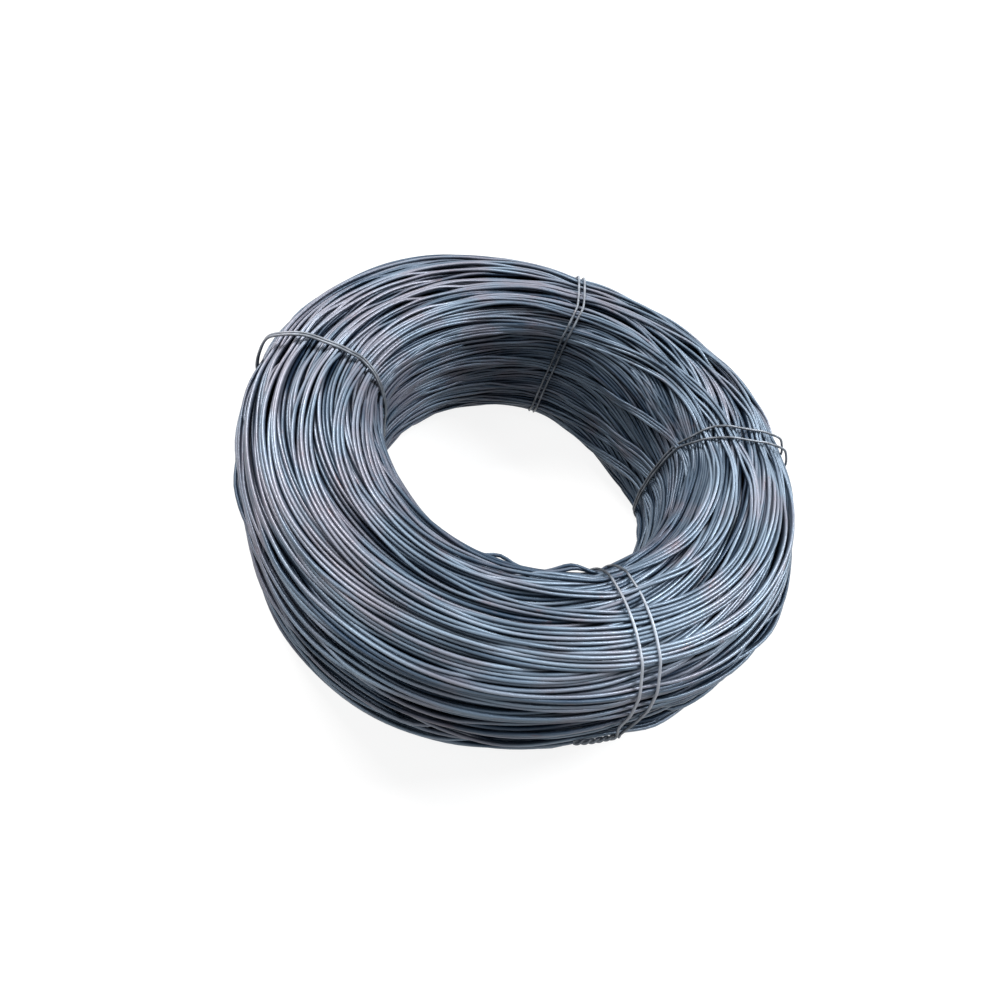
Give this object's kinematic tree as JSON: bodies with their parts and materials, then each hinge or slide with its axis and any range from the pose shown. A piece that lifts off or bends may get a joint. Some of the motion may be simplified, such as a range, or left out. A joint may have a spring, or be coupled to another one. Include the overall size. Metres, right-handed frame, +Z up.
{
  "type": "coil of wire rod",
  "caption": "Ring-shaped coil of plain steel wire rod lying flat, held by doubled binding wires round its section.",
  "frame": {"origin": "centre of the ring on the floor that it lies on", "axes": "+Z up along the bore, -Y towards the side that the picture shows nearest"},
  "size_m": [0.9094, 0.9095, 0.2903],
  "materials": {
    "wire_rod": "blue-grey mill scale with thin rust",
    "tie_wire": "dull grey annealed steel"
  },
  "bodies": {
    "root": {"wire_coil": "wire_rod", "tie_left": "tie_wire", "tie_back": "tie_wire", "tie_right": "tie_wire", "tie_front": "tie_wire"}
  },
  "joints": []
}
